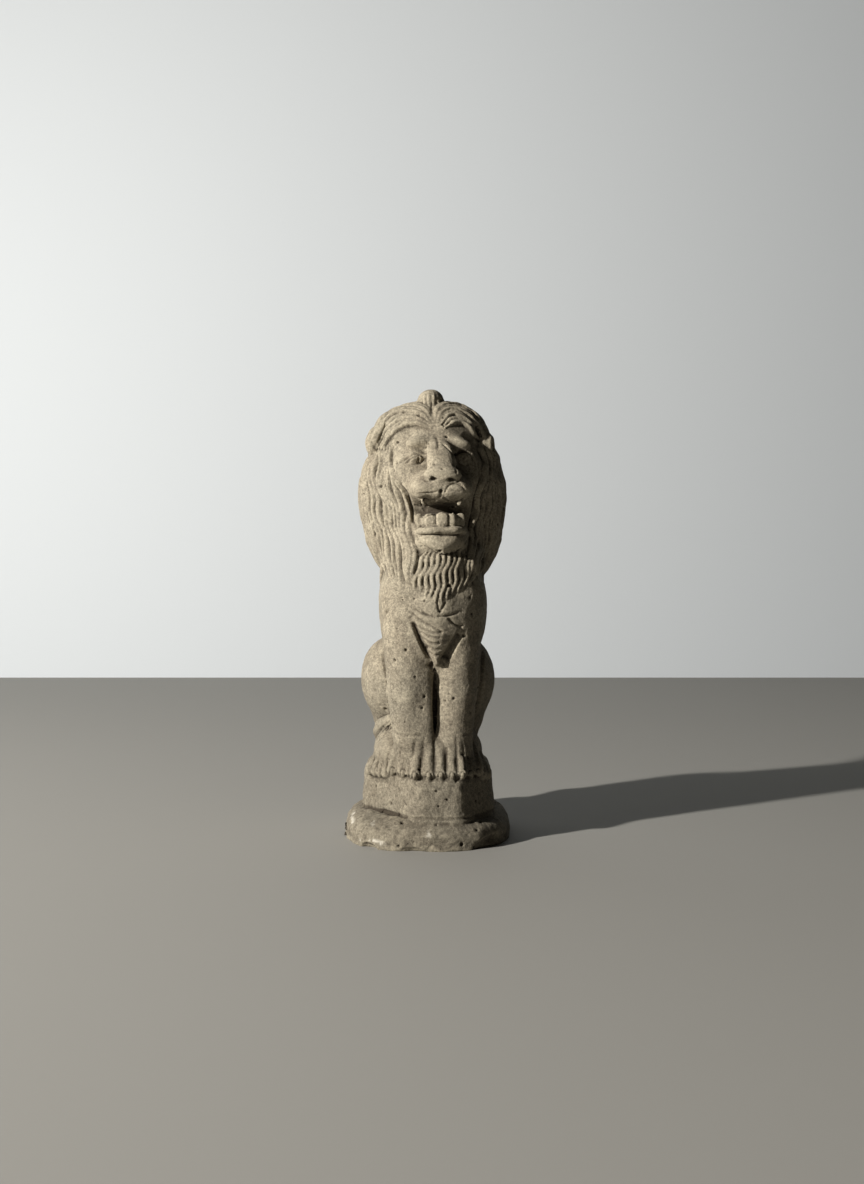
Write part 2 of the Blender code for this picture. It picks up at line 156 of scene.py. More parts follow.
class Limb:
    """A tapered bar with round ends."""

    def __init__(self, start, end, start_radius, end_radius):
        self.start, self.end = np.array(start, float), np.array(end, float)
        self.radii = start_radius, end_radius
        self.centre = (self.start + self.end) / 2
        self.run = self.end - self.start
        self.length = np.linalg.norm(self.run)
        self.reach = self.length / 2 + max(self.radii)

    def distance(self, p):
        q = p - self.start
        along = np.clip(q @ self.run / self.length**2, 0.0, 1.0)
        q -= along[:, None] * self.run
        return np.sqrt((q * q).sum(1)) - (self.radii[0] + along * (self.radii[1] - self.radii[0]))

    def mirrored(self):
        flip = np.array((-1.0, 1.0, 1.0))
        return Limb(self.start * flip, self.end * flip, *self.radii)


class Carving:
    """Forms put on and cut away one after another, in a frame of its own."""

    def __init__(self, place=(0, 0, 0), turn=(0, 0, 0)):
        self.place = np.array(place, float)
        self.turn = np.array(Euler([math.radians(a) for a in turn]).to_matrix())
        self.steps = []
        self.centre, self.reach = self.place, 0.0

    def put(self, form, soft):
        self.steps.append((form, soft, 1.0))
        middle = self.place + self.turn @ form.centre
        self.reach = max(self.reach, np.linalg.norm(middle - self.centre) + form.reach)

    def cut(self, form, soft):
        self.steps.append((form, soft, -1.0))

    def put_pair(self, form, soft):
        self.put(form, soft)
        self.put(form.mirrored(), soft)

    def cut_pair(self, form, soft):
        self.cut(form, soft)
        self.cut(form.mirrored(), soft)

    def put_chain(self, points, radii, soft):
        for a, b, ra, rb in zip(points, points[1:], radii, radii[1:]):
            self.put(Limb(a, b, ra, rb), soft)

    def distance(self, p):
        q = (p - self.place) @ self.turn
        result = self.steps[0][0].distance(q)
        for form, soft, way in self.steps[1:]:
            away = q - form.centre
            near = np.sqrt((away * away).sum(1)) - form.reach < way * result + soft
            if near.any():
                result[near] = way * blend(way * result[near], form.distance(q[near]), soft)
        return result


paw_bell = Ball((0, -6, 112), (90, 112, 96))


def on_bell(x, z):
    """A point of the paws' bell at this height, where x is its breadth at the foot."""
    wide, deep, tall = paw_bell.radii
    share = math.sqrt(1.0 - ((z - paw_bell.centre[2]) / tall) ** 2)
    y = -math.sqrt(max(1.0 - (x / wide) ** 2, 0.0)) * deep
    return x * share, paw_bell.centre[1] + y * share, z


def toe_tip(x, z=119):
    return x, np.interp(x, TOE_LINE_X, TOE_LINE_Y), z


body = Carving()
body.put(Ball((FLANK_MIDDLE, -50, 388), (91, 98, 132), (-6, 0, 0)), 1)
body.put(Limb((7, -28, 440), (2, 56, 236), 74, 93), 30)
body.put(Ball((0, 66, 206), (95, 95, 100)), 40)
body.put(Ball((0, 50, 130), (90, 98, 58)), 20)
body.put(paw_bell, 16)
body.put_pair(Ball((62, 46, 262), (57, 92, 74), (12, 0, 0)), 12)
body.put(Ball((72, 60, 177), (16, 34, 17)), 5)
body.put_pair(Ball((60, -32, 144), (33, 60, 40)), 12)
body.put(Limb((6, -44, 330), (2, -34, 180), 66, 60), 20)
body.put(Ball((10, -91, 138), (32, 38, 54)), 8)
forelegs = Carving()
forelegs.put_chain([(-31, -90, 410), (-29, -95, 250), (-25, -98, 178)], [48, 38, 32.5], 5)
forelegs.put_chain([(48, -86, 410), (47, -93, 250), (43, -97, 178)], [47, 34, 31], 5)
forelegs.put(Limb((-25, -98, 178), (-20, -99, 132), 32.5, 31), 5)
forelegs.put(Limb((43, -97, 178), (43, -98, 132), 31, 32), 5)
forelegs.put(Limb((-10, -104, 280), (-4, -106, 150), 24, 24), 6)
body.put(forelegs, 7)
for x in FRONT_TOES:
    body.put(Limb((0.8 * x + 2, -113 + 0.007 * x * x, 174), toe_tip(x), 8.0, TOE_RADIUS), 3.5)
for x in (np.array(FRONT_TOES[1:]) + FRONT_TOES[:-1]) / 2:  # the stone left between two toes
    body.put(Limb((0.8 * x + 2, -112 + 0.007 * x * x, 174), toe_tip(x), 6.0, BETWEEN_TOES), 3)
for x in HIND_TOES:
    body.put(Limb(on_bell(0.9 * x, 164), toe_tip(x, 111), 7.0, TOE_RADIUS), 2.5)
body.put_chain(TAIL, [14, 13, 13, 13, 14, 13], 3)
body.put_chain([(10, -110, 392), (11, -122, 345), (12, -132, 302)], [40, 25, 8], 8)
body.cut(Ball((12, -137, 236), (4.5, 46, 58)), 2)
body.cut(Limb((-21, -147, 362), (10, -137, 292), 3.0, 6.5), 4)
body.cut(Limb((50, -140, 344), (26, -141, 300), 4.0, 8.0), 4)


# The head
# Brows, nose, open mouth and teeth were modelled in clay for the mould, so every edge is a little soft. The
# face is drawn in a frame of its own, turned a few degrees to the lion's left.

HEAD_PLACE = (12, -13, 600)
HEAD_TURN = (0, 0, 5)
TEETH = ((-36, 6), (-20.5, 7.8), (-0.5, 9.8), (16, 5.6), (30, 7))

face = Carving(HEAD_PLACE, HEAD_TURN)
face.put(Ball((0, -30, 34), (74, 60, 88)), 1)
face.put_pair(Ball((46, -62, 8), (32, 30, 46)), 14)
face.put(Ball((0, -86, -12), (52, 54, 32)), 14)
face.put(Ball((0, -111, 28), (24, 17, 48), (-40, 0, 0), 2.4), 7)
face.put(Ball((0, -132, 4), (30, 16, 13), power=2.2), 7)
face.put_pair(Ball((22, -110, -18), (31, 31, 19.5), power=2.2), 6)
face.put_pair(Ball((28, -75, 64), (27, 15, 12), (0, 8, -20)), 10)
face.put_pair(Limb((52, -56, -14), (42, -64, -84), 17, 19), 10)
face.put(Ball((0, -78, -88), (50, 62, 36)), 12)
face.put(Ball((0, -103, -105), (43, 38, 20), power=2.3), 7)
face.put(Ball((0, -106, -86), (42, 40, 9), power=2.6), 2.5)
face.cut(Ball((0, -126, -50), (43, 46, 9.5), power=2.6), 3)
face.cut_pair(Limb((32, -124, -48), (54, -96, -38), 6, 3), 3)
face.put(Ball((0, -98, -71), (37, 41, 12), power=3.5), 2.5)
for x, wide in TEETH:
    face.put(Ball((x, -136 + 0.014 * x * x, -69), (wide, 7, 11), power=3.5), 1.2)
face.put_pair(Limb((30, -121, -36), (29.5, -122, -43), 5.0, 3.0), 2)
face.cut_pair(Ball((40, -104, 37), (24, 15, 11), (0, 0, -18)), 5)
face.put_pair(Ball((39, -76, 36), (19, 16, 12.5)), 2)
face.cut_pair(Ball((17, -152, -5), (9, 10, 4), (0, -12, 0)), 2)
face.cut(Limb((0, -156, -10), (0, -148, -40), 2.5, 3.0), 2)

head = Carving()
head.put(Ball((8.5, -12, 585), (122, 82, 134)), 1)
head.put(Ball((6, -24, 680), (96, 60, 62)), 24)
head.put(Ball((8, 14, 530), (100, 88, 84)), 30)
head.put(Ball((10, -4, 515), (106, 76, 108)), 26)
head.put(Ball((9, -76, 455), (80, 66, 78)), 26)
head.put(Ball((5, -36, 742), (22, 26, 19)), 10)
head.put(face, 6)
for side in (-1, 1):
    head.put(Ball((4 + 84 * side, -34, 684), (15, 21, 36), (0, -24 * side, 0)), 5)
    head.cut(Ball((4 + 83 * side, -58, 680), (6, 10, 22), (0, -24 * side, 0)), 7)

lion_form = Carving()
lion_form.put(body, 1)
lion_form.put(head, 10)


# Old knocks: bites out of the slab's foot, a split edge, and a facet broken off its right front
knocks = Carving()
knocks.put(Ball((-97, -146, 0), (15, 18, 10), (0, 20, 40)), 1)
knocks.put(Ball((-34, -174, -3), (34, 10, 11), (0, 4, 8)), 2)
knocks.put(Ball((5, -172, 9), (1.4, 3, 9), (0, 38, 0)), 2)
knocks.put(Ball((104, -146, 4), (50, 16, 17), (0, -16, 38)), 2)
knocks.put(Ball((-141, -30, 8), (6, 30, 9), (0, 0, 6)), 2)
knocks.put(Ball((120, -85, 112), (12, 22, 9), (0, 10, 50)), 2)


def stone(p):
    """Distance from the casting's surface, in millimetres from the middle of the underside."""
    plinth = -blend(-plinth_form(p), knocks.distance(p), 2.0)
    return blend(plinth, lion_form.distance(p), 3.0)


def slope(field, p, step=0.5):
    """The unit direction in which the field grows fastest, from four samples round each point."""
    corners = np.array([(1, -1, -1), (-1, -1, 1), (-1, 1, -1), (1, 1, 1)], float)
    grown = sum(corner * field(p + step * corner)[:, None] for corner in corners)
    return grown / (np.linalg.norm(grown, axis=1)[:, None] + 1e-9)


# The casting's skin
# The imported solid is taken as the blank, covered with an even skin, and the skin is drawn onto the form
# above. This is done twice, coarse and then fine, so that the deep cuts between the legs and in the mouth
# open fully.

COARSE_PITCH = 4.0
FINE_PITCH = 1.9
LONGEST_DRAW = 8.0
TRUSTED_DRAW = 2.0

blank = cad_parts["stone_lion"]
lion = bpy.data.objects.new("lion_casting", blank.data.copy())
bpy.context.scene.collection.objects.link(lion)


def read(mesh, attribute):
    values = np.empty(len(mesh.vertices) * 3, np.float32)
    source = mesh.vertices if attribute == "co" else mesh.vertex_normals
    source.foreach_get("co" if attribute == "co" else "vector", values)
    return values.reshape(-1, 3).astype(float)


def write(mesh, points):
    mesh.vertices.foreach_set("co", (points * MM).astype(np.float32).ravel())
    mesh.update()


def modified(kind, **settings):
    """Gives the casting the mesh that a modifier makes of it."""
    modifier = lion.modifiers.new(kind.lower(), kind)
    for name, value in settings.items():
        setattr(modifier, name, value)
    graph = bpy.context.evaluated_depsgraph_get()
    mesh = bpy.data.meshes.new_from_object(lion.evaluated_get(graph))
    lion.modifiers.remove(modifier)
    old, lion.data = lion.data, mesh
    bpy.data.meshes.remove(old)


def neighbours_middle(mesh, values):
    """For every point, the mean of the values at the points that share an edge with it."""
    ends = np.empty(len(mesh.edges) * 2, np.int32)
    mesh.edges.foreach_get("vertices", ends)
    a, b = ends.reshape(-1, 2).T
    here, there = np.concatenate((a, b)), np.concatenate((b, a))
    count = np.maximum(np.bincount(here, minlength=len(values)), 1)
    total = [np.bincount(here, values[there, axis], len(values)) for axis in range(values.shape[1])]
    return np.stack(total, 1) / count[:, None]


for pitch, draws in ((COARSE_PITCH, 5), (FINE_PITCH, 4)):
    modified("REMESH", mode="VOXEL", voxel_size=pitch * MM)
    for n in range(draws):
        skin = read(lion.data, "co") / MM
        if n < draws - 1:
            skin += 0.4 * (neighbours_middle(lion.data, skin) - skin)
        away = stone(skin)
        way = read(lion.data, "no")
        far = np.abs(away) > TRUSTED_DRAW
        way[far] = slope(stone, skin[far])
        write(lion.data, skin - np.clip(away, -LONGEST_DRAW, LONGEST_DRAW)[:, None] * way)

skin = read(lion.data, "co") / MM
outward = read(lion.data, "no")
lift = np.zeros(len(skin))


# The mane
# Locks hang in rows round the head and overlap like shingles, each with finer strands along it. The crown's
# locks sweep from a parting over the brow, and narrow wavy strands hang under the chin.


def beside(path, reach):
    """The skin near a path: which points, how far to its side each is, and how far along it from 0 to 1."""
    inside = np.all((skin > path.min(0) - reach) & (skin < path.max(0) + reach), axis=1)
    index = np.flatnonzero(inside)
    p, n = skin[index], outward[index]
    best = np.full(len(p), 1e9)
    side, along = np.zeros(len(p)), np.zeros(len(p))
    for k in range(len(path) - 1):
        run = path[k + 1] - path[k]
        share = np.clip((p - path[k]) @ run / (run @ run), 0.0, 1.0)
        off = p - path[k] - share[:, None] * run
        gap = (off * off).sum(1)
        closer = gap < best
        best[closer] = gap[closer]
        across = np.cross(n[closer], run / np.linalg.norm(run))
        side[closer] = (off[closer] * across).sum(1)
        along[closer] = (k + share[closer]) / (len(path) - 1)
    near = np.sqrt(best)
    deep = near > np.abs(side) + 6.0
    side[deep] = near[deep]
    return index, side, along


def laid(path):
    """A path moved onto the casting by the shortest way."""
    path = np.array(path, float)
    for _ in range(4):
        path -= lion_form.distance(path)[:, None] * slope(lion_form.distance, path)
    return path


def from_front(strokes):
    """Paths given as rows of (x, z), as seen from the front, put onto the casting."""
    paths = [np.array([(x, -230.0, z) for x, z in stroke]) for stroke in strokes]
    every = np.concatenate(paths)
    for _ in range(30):
        every[:, 1] += 0.9 * np.clip(lion_form.distance(every), -2.0, 25.0)
    return np.split(every, np.cumsum([len(path) for path in paths])[:-1])


def smooth(path, times=2):
    """Rounds a path's corners by cutting them."""
    path = np.array(path, float)
    for _ in range(times):
        first = path[:-1] * 0.75 + path[1:] * 0.25
        second = path[:-1] * 0.25 + path[1:] * 0.75
        middle = np.stack((first, second), 1).reshape(-1, path.shape[1])
        path = np.concatenate((path[:1], middle, path[-1:]))
    return path


def evenly(path, count):
    """The same path with this many points, evenly spaced along it."""
    path = np.array(path, float)
    reach = np.concatenate(([0.0], np.cumsum(np.linalg.norm(np.diff(path, axis=0), axis=1))))
    at = np.linspace(0.0, reach[-1], count)
    return np.stack([np.interp(at, reach, path[:, axis]) for axis in range(path.shape[1])], 1)


def add_strand(path, half_breadth, height):
    """Raises one strand of hair, round on top and with a sharp groove on either side."""
    index, side, along = beside(path, half_breadth + 5)
    taper = np.sqrt(np.clip(1.0 - along**6, 0.02, 1.0)) * np.clip(0.35 + 5.0 * along, 0.0, 1.0)
    across = np.clip(side / (half_breadth * taper), -1.0, 1.0)
    lift[index] = np.maximum(lift[index], height * taper * np.sqrt(1.0 - across**2))


def between(curves, count, points=16):
    """Strokes spread evenly from the first curve to the last, through those between."""
    curves = [evenly(curve, points) for curve in curves]
    for n in range(count):
        place = n / (count - 1) * (len(curves) - 1)
        k = min(int(place), len(curves) - 2)
        yield curves[k] * (k + 1 - place) + curves[k + 1] * (place - k)


def waved(stroke, breadth, length, start):
    """The stroke swung from side to side, as wavy hair is."""
    reach = np.concatenate(([0.0], np.cumsum(np.linalg.norm(np.diff(stroke, axis=0), axis=1))))
    run = np.gradient(stroke, axis=0)
    across = np.stack((run[:, 1], -run[:, 0]), 1) / np.linalg.norm(run, axis=1)[:, None]
    return stroke + across * (breadth * np.sin(reach / length * math.tau + start))[:, None]


def mane_point(angle, z, out=1.0):
    """A point near the mane's surface: angle is in degrees from the front towards +X."""
    turn = math.radians(angle)
    return 9 + 112 * out * math.sin(turn), -8 - 88 * out * math.cos(turn), z


LOCK_POINTS = 9


def hanging_lock(angle, top, tip, sway, lean):
    """A lock that hangs on the mane from one height to another, waving as it goes."""
    path = []
    for n in range(LOCK_POINTS):
        share = n / (LOCK_POINTS - 1)
        wave = sway * math.sin(math.tau * 0.8 * share + angle)
        path.append(mane_point(angle + lean * share + wave, top + (tip - top) * share))
    return laid(path)


CROWN_LEFT = (
    ((8, 702), (0, 722), (-14, 733), (-34, 735), (-58, 728), (-78, 712), (-90, 692), (-98, 664)),
    ((7, 697), (-6, 714), (-23, 722), (-43, 724), (-63, 719), (-75, 706), (-83, 689), (-93, 662)),
    ((4, 694), (-13, 706), (-33, 711), (-53, 706), (-70, 692), (-83, 672), (-91, 654)),
    ((1, 690), (-16, 697), (-36, 697), (-53, 689), (-67, 675), (-78, 655)),
)
CROWN_RIGHT = (
    ((9, 704), (13, 722), (24, 734), (42, 739), (60, 735), (82, 722), (98, 702), (106, 676)),
    ((14, 697), (17, 712), (27, 724), (41, 729), (54, 726), (71, 719), (88, 702), (99, 679)),
    ((22, 697), (31, 712), (44, 716), (59, 711), (74, 698), (90, 680), (100, 659)),
    ((32, 690), (44, 699), (57, 700), (71, 690), (86, 672), (94, 650)),
)
KNOB_TOP = ((-13, 737), (-6, 745), (2, 750), (10, 749), (18, 743), (24, 734))
KNOB_END = ((-3, 706), (1, 706), (5, 706), (9, 706), (13, 706), (17, 706))
CHEEK_LEFT = (
    ((-61, 652), (-59, 622), (-51, 595), (-38, 578), (-34, 560), (-33, 538), (-30, 515), (-24, 491),
     (-20, 468), (-22, 425)),
    ((-68, 655), (-71, 619), (-68, 589), (-58, 568), (-50, 542), (-46, 515), (-40, 491), (-34, 468),
     (-38, 430)),
    ((-78, 656), (-85, 619), (-85, 588), (-78, 562), (-70, 535), (-65, 508), (-58, 485), (-56, 440)),
    ((-90, 656), (-98, 619), (-100, 592), (-95, 562), (-90, 535), (-83, 508), (-76, 485), (-69, 458),
     (-66, 440)),
    ((-100, 654), (-109, 619), (-113, 592), (-112, 572), (-112, 552), (-105, 522), (-96, 495), (-86, 470)),
)
CHEEK_RIGHT = (
    ((86, 662), (93, 640), (91, 603), (84, 572), (79, 540), (73, 510), (68, 480), (66, 440)),
    ((96, 660), (103, 630), (104, 600), (100, 560), (95, 530), (89, 500), (82, 470), (76, 436)),
    ((104, 658), (113, 620), (118, 590), (119, 560), (115, 530), (107, 500), (98, 470), (92, 452)),
)
BEARD_TOP, BEARD_SPREAD, BEARD_TIP, BEARD_MIDDLE = 477, (-4, 76, -22, 68), 393, 18
ROWS = ((700, 590, 6, 74, 176), (650, 530, 7, 72, 180), (600, 480, 7, 74, 176), (545, 436, 6, 72, 170))

# Half the breadth and the height of a strand on the crown, the knob, under the chin, over the top and behind
CROWN_STRAND, KNOB_STRAND, BEARD_STRAND = (4.6, 4.2), (3.2, 2.0), (4.4, 4.2)
TOP_STRAND, BACK_STRAND = (6.5, 4.5), (5.4, 6.8)
BEARD_STRANDS = 11

dice = random.Random(7)
strokes, sizes = [], []
for curves, count in ((CROWN_LEFT, 8), (CROWN_RIGHT, 8)):
    for n, stroke in enumerate(between(curves, count)):
        strokes.append(stroke)
        sizes.append((CROWN_STRAND[0], CROWN_STRAND[1] + 1.4 * (n % 2)))
for top, end in zip(KNOB_TOP, KNOB_END):
    strokes.append(evenly((top, ((top[0] + end[0]) / 2 + 0.1 * (top[0] - 5), 724), end), 8))
    sizes.append(KNOB_STRAND)
for curves, count in ((CHEEK_LEFT, 12), (CHEEK_RIGHT, 7)):
    for n, stroke in enumerate(between(curves, count, 26)):
        stroke = waved(stroke, 2.2, 66.0, 0.5 * n)
        breaks = [0, 8 + dice.randint(-2, 2), 17 + dice.randint(-3, 3), 26]
        for first, last in zip(breaks, breaks[1:]):
            tuft = stroke[max(first - 3, 0) : last] + (dice.uniform(-2, 2), 0)
            tuft[:, 0] += dice.uniform(-4, 4) * np.linspace(0.0, 1.0, len(tuft))
            strokes.append(tuft)
            sizes.append((4.0 + dice.uniform(0, 2.2), 5.0 + dice.uniform(0, 3.5)))
left, right, low_left, low_right = BEARD_SPREAD
for n in range(BEARD_STRANDS):
    share = n / (BEARD_STRANDS - 1)
    foot = low_left + (low_right - low_left) * share
    tip = BEARD_TIP + 0.62 * abs(foot - BEARD_MIDDLE) + 4 * (n % 2)
    stroke = evenly(((left + (right - left) * share, BEARD_TOP), (foot + 4, 440), (foot, tip)), 20)
    strokes.append(waved(stroke, 1.9, 38.0, 0.5 * n))
    sizes.append((BEARD_STRAND[0], BEARD_STRAND[1] + 0.9 * (n % 2)))
for path, (half_breadth, height) in zip(from_front(strokes), sizes):
    add_strand(path, half_breadth, height)
for side in (-1, 1):
    for n in range(2, 5):
        for k in (-1, 0, 1):
            turn = side * (8 + 34 * n) + 10 * k
            over = [mane_point(turn, 752 - 5 * j * j, 0.25 + 0.2 * j) for j in range(5)]
            add_strand(laid(over), *TOP_STRAND)
    for top, tip, count, first, last in ROWS:
        for n in range(count):
            angle = first + (last - first) * n / (count - 1) + dice.uniform(-3, 3)
            drop, sway = dice.uniform(-8, 8), dice.uniform(3, 6)
            for k in (-1, 0, 1):
                path = hanging_lock(side * angle, top + drop, tip + drop - 4 * abs(k), sway, side * -5)
                spread = (9.0 * k * (1.0 - 0.75 * np.linspace(0.0, 1.0, len(path)) ** 2))[:, None]
                around = np.cross((path - (9, -8, 0)) * (1, 1, 0), (0, 0, 1.0))
                path = path + spread * around / np.linalg.norm(around, axis=1)[:, None]
                add_strand(path, BACK_STRAND[0], BACK_STRAND[1] - 0.8 * abs(k))


# Lines cut with a fine tool
# Lids, lips, wrinkles, nails, creases and the fur on the chest were cut into the clay of the pattern with a
# narrow tool. Each is a stroke as seen from the front, with half its breadth and its depth.


def cut_line(path, half_breadth, depth):
    """Cuts a line that fades out at both ends."""
    index, side, along = beside(path, half_breadth + 4)
    across = np.clip(np.abs(side) / half_breadth, 0.0, 1.0)
    fade = np.clip(np.minimum(along, 1.0 - along) * 6.0, 0.25, 1.0)
    lift[index] -= depth * fade * (1.0 - across**2) ** 1.5


def drill(place, half_breadth, half_height, depth):
    """Sinks an oval hole, as seen from the front."""
    middle = from_front([[place]])[0][0]
    near = np.flatnonzero(np.all(np.abs(skin - middle) < (half_breadth, 14.0, half_height), axis=1))
    x, z = (skin[near, 0] - middle[0]) / half_breadth, (skin[near, 2] - middle[2]) / half_height
    lift[near] -= depth * np.sqrt(np.clip(1.0 - x * x - z * z, 0.0, 1.0))


FACE_EDGE = (
    (77, 650), (86, 628), (87, 604), (80, 580), (75, 555), (72, 530), (66, 500), (56, 482), (38, 476),
    (14, 478), (-8, 488), (-18, 503), (-22, 523), (-26, 543), (-30, 574), (-44, 590), (-54, 608),
    (-59, 630), (-58, 652),
)
FACE_LINES = (
    (2.4, 2.4, ((-45, 627), (-34, 636), (-21, 643), (-10, 642), (-5, 636))),
    (1.8, 1.6, ((-36, 626), (-27, 635), (-18, 639), (-12, 639))),
    (1.6, 1.2, ((-33, 624), (-22, 625), (-11, 627), (-6, 633))),
    (2.6, 2.6, ((44, 640), (52, 648), (62, 649), (72, 644), (77, 633))),
    (1.8, 1.4, ((47, 633), (54, 626), (63, 624), (71, 629))),
    (2.2, 1.5, ((-2, 664), (4, 656), (2, 647), (-4, 642), (-12, 648))),
    (2.6, 2.4, ((26, 657), (33, 650), (40, 642), (46, 637))),
    (3.0, 1.8, ((14, 672), (18, 661), (17, 648))),
    (2.4, 1.8, ((-4, 612), (-8, 602), (-5, 594), (2, 592))),
    (2.4, 1.8, ((50, 614), (55, 603), (52, 594), (46, 591))),
    (2.6, 2.6, ((-23, 568), (-12, 564), (8, 562), (19, 567), (23, 576))),
    (2.2, 1.6, ((-15, 572), (4, 572), (18, 577))),
    (2.6, 2.2, ((27, 570), (33, 563), (44, 561), (56, 564), (62, 570))),
    (2.4, 2.0, ((28, 574), (32, 584), (41, 589), (53, 588), (60, 580))),
    (1.8, 1.4, ((33, 577), (43, 579), (54, 576))),
    (2.2, 1.8, ((-24, 560), (-10, 557), (4, 553))),
    (2.2, 1.8, ((-13, 540), (-5, 534), (3, 538), (12, 541), (38, 542), (51, 539))),
    (1.6, 2.8, ((13, 540), (12.5, 532), (13, 523))),
    (1.6, 2.8, ((33, 540), (33.5, 532), (33, 523))),
    (2.4, 2.6, ((-10, 507), (6, 508), (26, 505), (46, 506), (58, 511))),
)
FUR_LINES = (
    ((-30, 385), (-12, 369), (4, 361), (20, 353), (27, 349)),
    ((-26, 390), (-2, 376), (17, 374), (36, 376), (52, 382)),
    ((-18, 360), (-2, 352), (14, 348), (25, 349)),
    ((-14, 350), (2, 342), (23, 339)),
    ((-8, 340), (5, 331), (22, 330)),
    ((-4, 328), (8, 321), (22, 321)),
    ((2, 317), (11, 311), (20, 312)),
    ((34, 372), (44, 362), (58, 358)),
    ((14, 402), (17, 392), (20, 381)),
    ((30, 399), (25, 390), (20, 380)),
    ((-9, 384), (-4, 379), (3, 378)),
)
FLUTES = (
    ((-20, 171), (-25, 142), (-30.5, 112)), ((-6, 174), (-9, 142), (-11.5, 112)),
    ((11, 176), (12, 145), (12, 112)), ((31, 163), (31, 140), (31, 112)),
    ((47, 176), (48, 145), (49, 112)), ((58, 166), (61, 140), (64.5, 112)),
    ((-43, 163), (-46, 140), (-49, 112)), ((-64, 150), (-67, 130), (-69, 108)),
    ((-80, 146), (-84, 130), (-87, 110)), ((73, 148), (76, 130), (79, 108)),
)
CHEST_CREASES = (
    (5.5, 7.0, ((-25, 368), (-16, 346), (-7, 325), (3, 304), (9, 288))),
    (9.0, 7.0, ((54, 348), (44, 332), (35, 316), (27, 302))),
)
HAUNCH_CREASES = (
    ((-80, 318), (-72, 285), (-68, 262), (-66, 235), (-63, 208)),
    ((98, 317), (94, 290), (93, 263), (89, 235), (84, 210)),
)
TAIL_GROOVES = (
    ((-87, 158), (-77, 171), (-62, 184)),
    ((-86, 166), (-76, 179), (-60, 191)),
    ((-84, 174), (-74, 187), (-62, 197)),
)
CUFF = (((-60, 186), (-45, 181), (-25, 180), (-5, 181)), ((76, 188), (68, 182), (58, 179)))
LEFT_PUPIL, RIGHT_PUPIL, LEFT_NOSTRIL, RIGHT_NOSTRIL = (-14.5, 634), (60, 637), (9, 595), (39, 595)

LINE_SETS = (
    (3.0, 2.4, FUR_LINES),
    (3.0, 1.2, CUFF),
    (3.0, 1.4, FLUTES),
    (5.5, 4.0, HAUNCH_CREASES),
    (2.4, 1.8, TAIL_GROOVES),
)

rows = [(3.6, 3.0, FACE_EDGE), *FACE_LINES]
for half_breadth, depth, group in LINE_SETS:
    rows += [(half_breadth, depth, stroke) for stroke in group]
rows += CHEST_CREASES
for x in FRONT_TOES:
    nail = ((x - 5.5, 110), (x - 5, 119), (x - 2.5, 125), (x + 2.5, 125), (x + 5, 119), (x + 5.5, 110))
    rows.append((1.9, 2.2, nail))
for place in (LEFT_PUPIL, RIGHT_PUPIL):
    turns = np.linspace(0.3, 5.9, 14)
    ring = [(place[0] + 1 + 6.5 * math.sin(a), place[1] + 6.5 * math.cos(a)) for a in turns]
    rows.append((1.4, 1.2, ring))
for path, (half_breadth, depth, _) in zip(from_front([smooth(row[2]) for row in rows]), rows):
    cut_line(path, half_breadth, depth)
for place in (LEFT_PUPIL, RIGHT_PUPIL):
    drill(place, 2.4, 4.4, 3.5)
for place in (LEFT_NOSTRIL, RIGHT_NOSTRIL):
    drill(place, 6.5, 2.6, 5.0)


# Weathering
# The face of the casting isn't even: it sags and swells a little, as trowelled and rain-worn stone does, and
# air bubbles left round pits 4 to 7 mm wide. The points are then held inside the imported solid's box.

PITS = 420
SMALLEST_PIT, PIT_SPREAD, PIT_DEPTH = 1.8, 1.9, 1.3
GOLDEN = 0.618
# Unevenness as height, the length it changes over, and the seed of its numbers
EVERYWHERE = ((0.9, 34.0, 1), (0.5, 12.0, 2), (0.3, 5.0, 3))
ON_PLINTH, PLINTH_INWARD = ((1.2, 22.0, 4), (0.8, 8.0, 5)), 1.2
MANE_SWELL = 3.0


def lumps(p, size, seed):
    """Smooth random numbers from -1 to 1 that change over about this many millimetres."""
    table = np.random.default_rng(seed).uniform(-1.0, 1.0, 4096)
    q = p / size + 1000.0
    cell = np.floor(q).astype(int)
    f = q - cell
    f = f * f * (3.0 - 2.0 * f)
    total = np.zeros(len(p))
    for dx in (0, 1):
        for dy in (0, 1):
            for dz in (0, 1):
                key = (cell[:, 0] + dx) * 73 + (cell[:, 1] + dy) * 179 + (cell[:, 2] + dz) * 283
                weight = np.abs(1 - dx - f[:, 0]) * np.abs(1 - dy - f[:, 1]) * np.abs(1 - dz - f[:, 2])
                total += weight * table[key % 4096]
    return total


def uneven(p, kinds):
    return sum(tall * lumps(p, size, seed) for tall, size, seed in kinds)


lift += uneven(skin, EVERYWHERE)
in_mane = np.clip((np.hypot(skin[:, 0] - 9, skin[:, 1] + 8) - 62) / 20, 0.0, 1.0)
in_mane *= np.clip((skin[:, 2] - 430) / 20, 0.0, 1.0)
lift += in_mane * MANE_SWELL * lumps(skin, 24.0, 6)
in_plinth = np.clip((BLOCK_TOP + 4 - skin[:, 2]) / 8, 0.0, 1.0)
lift += in_plinth * (uneven(skin, ON_PLINTH) - PLINTH_INWARD)
pit_at = skin[np.random.default_rng(11).integers(0, len(skin), PITS)]
for n, place in enumerate(pit_at):
    radius = SMALLEST_PIT + PIT_SPREAD * ((n * GOLDEN) % 1.0) ** 3
    index = np.flatnonzero(np.all(np.abs(skin - place) < radius, axis=1))
    gap = np.linalg.norm(skin[index] - place, axis=1) / radius
    lift[index] -= PIT_DEPTH * radius * np.sqrt(np.clip(1.0 - gap**2, 0.0, 1.0))

MOST_TRIANGLES = 196000
